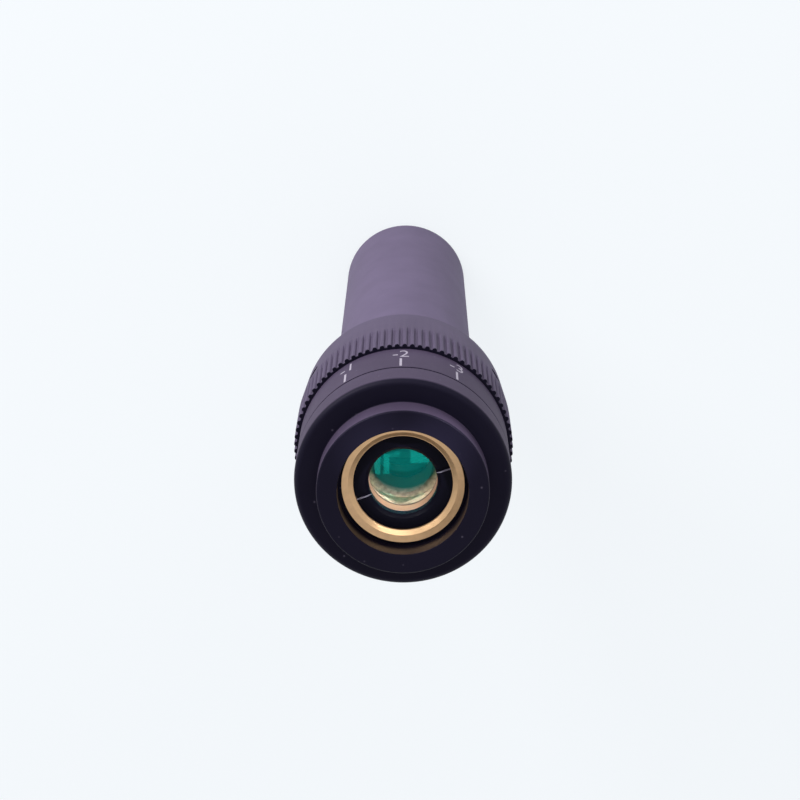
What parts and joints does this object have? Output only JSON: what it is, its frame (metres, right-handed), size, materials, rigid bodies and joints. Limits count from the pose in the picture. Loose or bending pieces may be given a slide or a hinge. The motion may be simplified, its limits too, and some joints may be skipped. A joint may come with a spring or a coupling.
{
  "type": "laser beam shaper",
  "caption": "Refractive laser beam shaper: slim black barrel with a fluted focus ring, a stepped front ring and a coated lens in a sliding brass carriage.",
  "frame": {"origin": "centre of the rear end face, on the optical axis", "axes": "+Z along the optical axis, from the rear end to the front lens; -Y is the side that faces up in the picture"},
  "size_m": [0.039, 0.039, 0.14],
  "materials": {
    "black_anodised": "black anodised, fine bead-blasted",
    "turned_brass": "fine turned, bare",
    "black_steel": "blackened",
    "coated_glass": "polished, anti-reflection coated",
    "glide_plastic": "sheet, matt",
    "seal_rubber": "moulded, greased"
  },
  "bodies": {
    "barrel": {"rear_tube": "black_anodised", "rear_retainer": "black_anodised", "input_lens": "coated_glass", "input_spacer": "black_anodised", "relay_lens": "coated_glass", "head_sleeve": "black_anodised", "drag_ring": "seal_rubber", "front_ring": "black_anodised", "front_glide_ring": "glide_plastic", "rear_glide_ring": "glide_plastic"},
    "focus_ring": {"focus_ring": "black_anodised", "cam_sleeve": "black_anodised", "ring_set_screws": "black_steel"},
    "lens_carriage": {"lens_carriage": "turned_brass", "drive_pin": "black_steel", "cam_roller": "turned_brass", "inner_lens": "coated_glass", "inner_spacer": "turned_brass", "front_lens": "coated_glass", "clamp_ring": "turned_brass", "lens_retainer": "black_anodised"}
  },
  "joints": [
    {"name": "focus_turn", "type": "hinge", "parent": "barrel", "child": "focus_ring", "pos_m": [0, 0, 0.112], "axis": [0, 0, 1], "range_deg": [-62.5, 125]},
    {"name": "carriage_slide", "type": "slide", "parent": "barrel", "child": "lens_carriage", "axis": [0, 0, 1], "range_m": [-0.00104, 0.00208]}
  ],
  "couplings": [
    {"joint": "focus_turn", "follows": "carriage_slide", "rad_per_m": 1047.2}
  ]
}
